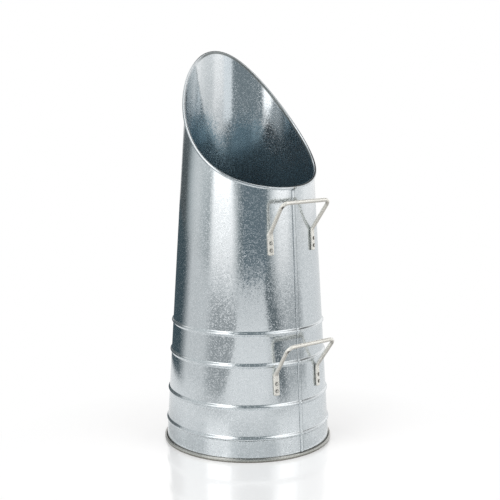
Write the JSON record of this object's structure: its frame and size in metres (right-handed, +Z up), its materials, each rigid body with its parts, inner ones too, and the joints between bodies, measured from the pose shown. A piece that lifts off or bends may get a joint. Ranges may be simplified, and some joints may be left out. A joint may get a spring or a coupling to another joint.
{
  "type": "coal scuttle",
  "caption": "Tall tapered sheet-metal coal scuttle with a slanted pouring mouth, rolled beads and two fixed wire handles on its front.",
  "frame": {"origin": "on the floor, in the middle of the outline with the handles included", "axes": "+Z up, the seam and both handles face -Y, the high lip of the mouth is at +Y"},
  "size_m": [0.2466, 0.2644, 0.5669],
  "materials": {
    "galvanised_sheet": "bright galvanised with a fine spangle",
    "zinc_wire": "warm, slightly dull zinc",
    "steel_rivet": "satin"
  },
  "bodies": {
    "root": {"body_shell": "galvanised_sheet", "rim_wire": "zinc_wire", "bottom_disc": "galvanised_sheet", "upper_handle": "zinc_wire", "lower_handle": "zinc_wire", "upper_handle_rivet_left_foot_lower": "steel_rivet", "upper_handle_rivet_left_foot_upper": "steel_rivet", "upper_handle_rivet_right_foot_lower": "steel_rivet", "upper_handle_rivet_right_foot_upper": "steel_rivet", "lower_handle_rivet_left_foot_lower": "steel_rivet", "lower_handle_rivet_left_foot_upper": "steel_rivet", "lower_handle_rivet_right_foot_lower": "steel_rivet", "lower_handle_rivet_right_foot_upper": "steel_rivet"}
  },
  "joints": []
}
